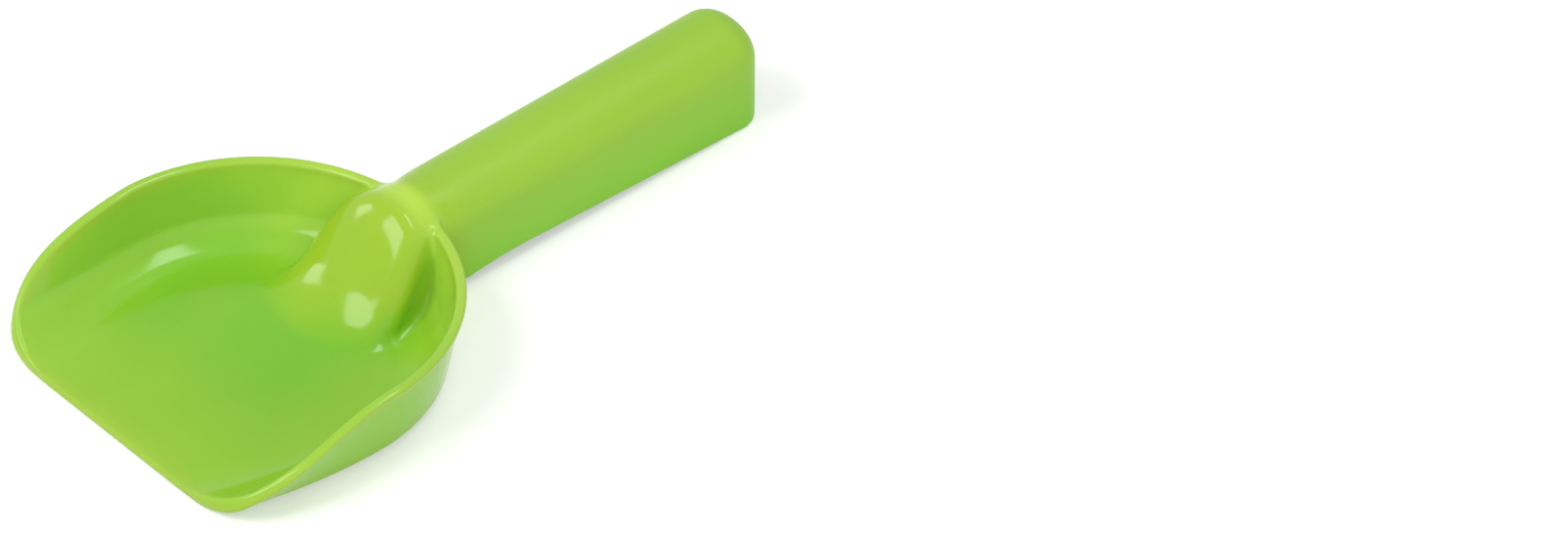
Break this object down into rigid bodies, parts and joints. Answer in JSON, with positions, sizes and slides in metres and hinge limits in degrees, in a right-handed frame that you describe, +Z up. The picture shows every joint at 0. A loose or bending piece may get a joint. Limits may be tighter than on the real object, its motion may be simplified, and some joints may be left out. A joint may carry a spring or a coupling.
{
  "type": "sand scoop",
  "caption": "One-piece moulded toy scoop: shallow round-backed bowl with a straight cutting edge, and a hollow-backed grip that runs on into the bowl as a rounded hump.",
  "frame": {"origin": "under the middle of the whole length, on the surface that the scoop stands on, in its plane of symmetry", "axes": "+X from the cutting edge along the handle, +Y across the bowl, +Z up out of the bowl"},
  "size_m": [0.22, 0.1108, 0.0303],
  "materials": {
    "bowl_gloss": "polished lime green polypropylene",
    "grip_satin": "satin lime green polypropylene, finely spark-textured"
  },
  "bodies": {
    "root": {"bowl_shell": "bowl_gloss", "rim_bead": "bowl_gloss", "handle_hump": "bowl_gloss", "grip_channel": "grip_satin", "grip_end": "grip_satin", "grip_ribs": "grip_satin"}
  },
  "joints": []
}
